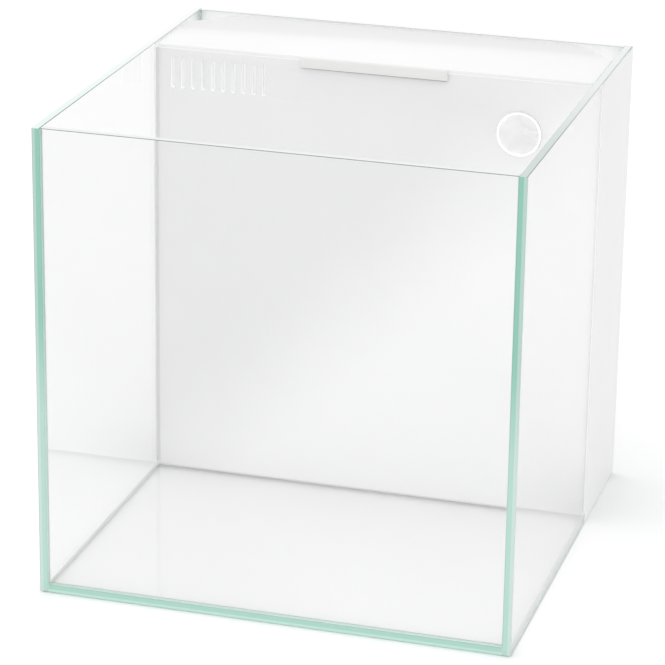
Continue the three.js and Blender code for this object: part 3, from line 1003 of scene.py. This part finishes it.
@dataclass
class FilterMedia:
    """The foam blocks, the floss pad and the loose ceramic rings."""

    corner: float = 3 * MM
    bulge: float = 0.8 * MM
    unevenness: float = 0.25
    seed: int = 4
    ring_pitch: float = 15.7 * MM
    ring_outer: float = 5.8 * MM
    ring_inner: float = 2.8 * MM
    ring_length: float = 10.5 * MM
    ring_sides: int = 10
    soft: dict[str, tuple[Finish, str, int]] = field(default_factory=lambda: {
        "filter_sponge": (COARSE, "sponge", 9), "coarse_foam": (COARSE, "basket", 7),
        "fine_pad": (FLOSS, "basket", 8)})

    def cushion(self, node: str, finish: Finish, body: str, cuts: int) -> None:
        """Makes a foam block: soft corners, sides pulled in a little, an uneven surface.

        Args:
            node: The CAD node that it stands for.
            finish: Its finish.
            body: The body that it moves with.
            cuts: How often each face is divided.
        """
        low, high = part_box(node)
        middle, half = (low + high) / 2, (high - low) / 2
        draw = random.Random(self.seed)
        bm = block(low, high)
        soften(bm, bm.edges[:], self.corner, 4)
        bmesh.ops.subdivide_edges(bm, edges=bm.edges[:], cuts=cuts, use_grid_fill=True)
        bmesh.ops.triangulate(bm, faces=[face for face in bm.faces if len(face.verts) > 4])
        for vert in bm.verts:
            place = [(vert.co[axis] - middle[axis]) / half[axis] for axis in range(3)]
            for axis in range(3):
                others = [place[other] ** 2 for other in range(3) if other != axis]
                pull = self.bulge * (max(others) ** 2 + self.unevenness * draw.random())
                vert.co[axis] -= math.copysign(pull, place[axis]) * abs(place[axis]) ** 3
        piece = finish_piece(node + "_block", bm, body, [node], [finish], 60.0)

    def ring(self, bm: bmesh.types.BMesh, place: Matrix) -> None:
        """Adds one hollow ceramic ring.

        Args:
            bm: The mesh to add it to.
            place: Where it lies.
        """
        rims = []
        for radius in (self.ring_outer, self.ring_inner):
            rims += bmesh.ops.create_circle(bm, segments=self.ring_sides,
                                            radius=radius)["verts"]
        edges = dict.fromkeys(edge for vert in rims for edge in vert.link_edges)
        foot = bmesh.ops.bridge_loops(bm, edges=list(edges))["faces"]
        raised = bmesh.ops.extrude_face_region(bm, geom=foot)["geom"]
        tops = [item for item in raised if isinstance(item, bmesh.types.BMVert)]
        bmesh.ops.translate(bm, verts=tops, vec=(0, 0, self.ring_length))
        bmesh.ops.transform(bm, matrix=place @ Matrix.Translation((0, 0, -self.ring_length / 2)),
                            verts=rims + tops)

    def pile(self) -> None:
        """Piles the rings up in the basket, each lying its own way."""
        reach = math.hypot(self.ring_outer, self.ring_length / 2)
        low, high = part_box("ceramic_media")
        low, high = low + Vector((reach,) * 3), high - Vector((reach,) * 3)
        draw = random.Random(self.seed)
        counts = [int((high[axis] - low[axis]) / self.ring_pitch) for axis in range(3)]
        bm = bmesh.new()
        for column in range(counts[0] + 1):
            for row in range(counts[1] + 1):
                for layer in range(counts[2] + 1):
                    share = (column / counts[0], row / counts[1], layer / counts[2])
                    centre = Vector([low[axis] + share[axis] * (high[axis] - low[axis])
                                     for axis in range(3)])
                    turn = Matrix.Rotation(draw.uniform(0, math.pi), 4,
                                           Vector((draw.gauss(0, 1), draw.gauss(0, 1),
                                                   draw.gauss(0, 1))))
                    self.ring(bm, Matrix.Translation(centre) @ turn)
        bmesh.ops.recalc_face_normals(bm, faces=bm.faces[:])
        finish_piece("ceramic_ring_pile", bm, "basket", ["ceramic_media"], [MEDIA])

    def build(self) -> None:
        """Makes the blocks, the pad and the pile."""
        for node, (finish, body, cuts) in self.soft.items():
            self.cushion(node, finish, body, cuts)
        self.pile()


# ------------------------------------------------------------------ basket and pump


@dataclass(frozen=True)
class Moulding:
    """How one moulded part is finished: its finish, its body and the round on its edges."""

    finish: Finish
    body: str = "tank"
    edge: float = 0.4 * MM


@dataclass
class FilterGear:
    """The media basket and the pump, each part with its moulded edges rounded."""

    parts: dict[str, Moulding] = field(default_factory=lambda: {
        "media_basket": Moulding(BASKET, "basket"),
        "basket_bail": Moulding(BASKET, "bail", 0.6 * MM),
        "pump_body": Moulding(PUMP, edge=0.8 * MM),
        "volute_cover": Moulding(PUMP),
        "intake_cage": Moulding(PUMP),
        "flow_dial": Moulding(BASKET, "flow_dial"),
        "impeller": Moulding(ROTOR, "impeller", 0.3 * MM),
        "impeller_shaft": Moulding(SHAFT, edge=0.2 * MM),
        "cord_gland": Moulding(RUBBER, edge=0.5 * MM),
        **{f"suction_foot_{number}": Moulding(RUBBER, edge=0.3 * MM)
           for number in range(1, 5)}})
    weld: float = 0.005 * MM
    flat: float = math.radians(0.5)

    def build(self) -> None:
        """Rounds the edges of a copy of each part."""
        for node, part in self.parts.items():
            bm = bmesh.new()
            bm.from_mesh(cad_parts[node].data)
            bmesh.ops.remove_doubles(bm, verts=bm.verts[:], dist=self.weld)
            bmesh.ops.dissolve_limit(bm, angle_limit=self.flat, verts=bm.verts[:],
                                     edges=bm.edges[:], use_dissolve_boundaries=False)
            soften(bm, sharp_edges(bm, 35.0), part.edge)
            bmesh.ops.recalc_face_normals(bm, faces=bm.faces[:])
            finish_piece(node + "_moulding", bm, part.body, [node], [part.finish], 40.0)


# ------------------------------------------------------------------ camera, lights, floor


@dataclass
class Studio:
    """A white studio: pale floor, soft light from all round, and the camera."""

    stand: Vector = field(default_factory=lambda: Vector((0.62668, -2.19697, 1.00621)))
    azimuth: float = 16.118
    elevation: float = 20.250
    roll: float = 0.841
    lens: float = 172.4
    sensor: float = 36.0
    floor_size: float = 24.0
    floor_drop: float = 0.5 * MM
    floor_white: float = 0.95
    clear_layers: int = 64
    sky_front: float = 1.08
    sky_back: float = 0.90
    softbox_side: float = 3.0
    softbox_watts: float = 20.0
    softbox_place: tuple[float, float, float] = (-0.6, 0.4, 3.0)
    softbox_tilt: tuple[float, float] = (-8.0, -12.0)

    def camera(self) -> None:
        """Places the camera to the front right, a little above the rim."""
        data = bpy.data.cameras.new("camera")
        data.lens = self.lens
        data.sensor_width = self.sensor
        data.clip_end = 100.0
        camera = bpy.data.objects.new("camera", data)
        bpy.context.scene.collection.objects.link(camera)
        turn = (Matrix.Rotation(math.radians(self.azimuth), 4, "Z")
                @ Matrix.Rotation(math.radians(90 - self.elevation), 4, "X")
                @ Matrix.Rotation(math.radians(self.roll), 4, "Z"))
        camera.matrix_world = Matrix.Translation(self.stand) @ turn
        bpy.context.scene.camera = camera

    def floor(self) -> None:
        """Lays a wide pale floor under the tank."""
        bm = bmesh.new()
        bmesh.ops.create_grid(bm, x_segments=1, y_segments=1, size=self.floor_size / 2)
        mesh = bpy.data.meshes.new("floor")
        bm.to_mesh(mesh)
        bm.free()
        floor = bpy.data.objects.new("floor", mesh)
        floor.location.z = -self.floor_drop
        bpy.context.scene.collection.objects.link(floor)
        shader = Shader("studio_floor")
        white = self.floor_white
        shader.set(Base_Color=(white, white, white, 1.0), Roughness=0.9, Specular_IOR_Level=0.0)
        mesh.materials.append(shader.material)

    def sky(self) -> None:
        """Lights the studio from all round, a little more from the front."""
        world = bpy.data.worlds.new("studio")
        bpy.context.scene.world = world
        world.use_nodes = True
        tree = world.node_tree
        background = tree.nodes["Background"]
        background.inputs["Color"].default_value = (1.0, 1.0, 1.0, 1.0)
        where = tree.nodes.new("ShaderNodeTexCoord")
        split = tree.nodes.new("ShaderNodeSeparateXYZ")
        ramp = tree.nodes.new("ShaderNodeMapRange")
        ramp.inputs["From Min"].default_value = -1.0
        ramp.inputs["From Max"].default_value = 1.0
        ramp.inputs["To Min"].default_value = self.sky_front
        ramp.inputs["To Max"].default_value = self.sky_back
        tree.links.new(where.outputs["Generated"], split.inputs["Vector"])
        tree.links.new(split.outputs["Y"], ramp.inputs["Value"])
        tree.links.new(ramp.outputs["Result"], background.inputs["Strength"])

    def softbox(self) -> None:
        """Hangs a large soft light above and behind the tank."""
        data = bpy.data.lights.new("softbox", "AREA")
        data.shape = "RECTANGLE"
        data.size = data.size_y = self.softbox_side
        data.energy = self.softbox_watts
        light = bpy.data.objects.new("softbox", data)
        light.location = self.softbox_place
        light.rotation_euler = (*map(math.radians, self.softbox_tilt), 0)
        bpy.context.scene.collection.objects.link(light)

    def build(self) -> None:
        """Makes the camera, the floor and the lights."""
        bpy.context.scene.view_settings.view_transform = "Standard"
        bpy.context.scene.cycles.transparent_max_bounces = self.clear_layers
        self.camera()
        self.floor()
        self.sky()
        self.softbox()


def main() -> None:
    """Builds the looks piece by piece."""
    logging.basicConfig(level=logging.INFO, format="%(name)s: %(message)s")
    Studio().build()
    GlassBox().build()
    Beads().build()
    FalseWall().build()
    OpalPlates().build()
    Lid().build()
    Films().build()
    ReturnOutlet().build()
    FilterMedia().build()
    FilterGear().build()


if __name__ == "__main__":
    main()
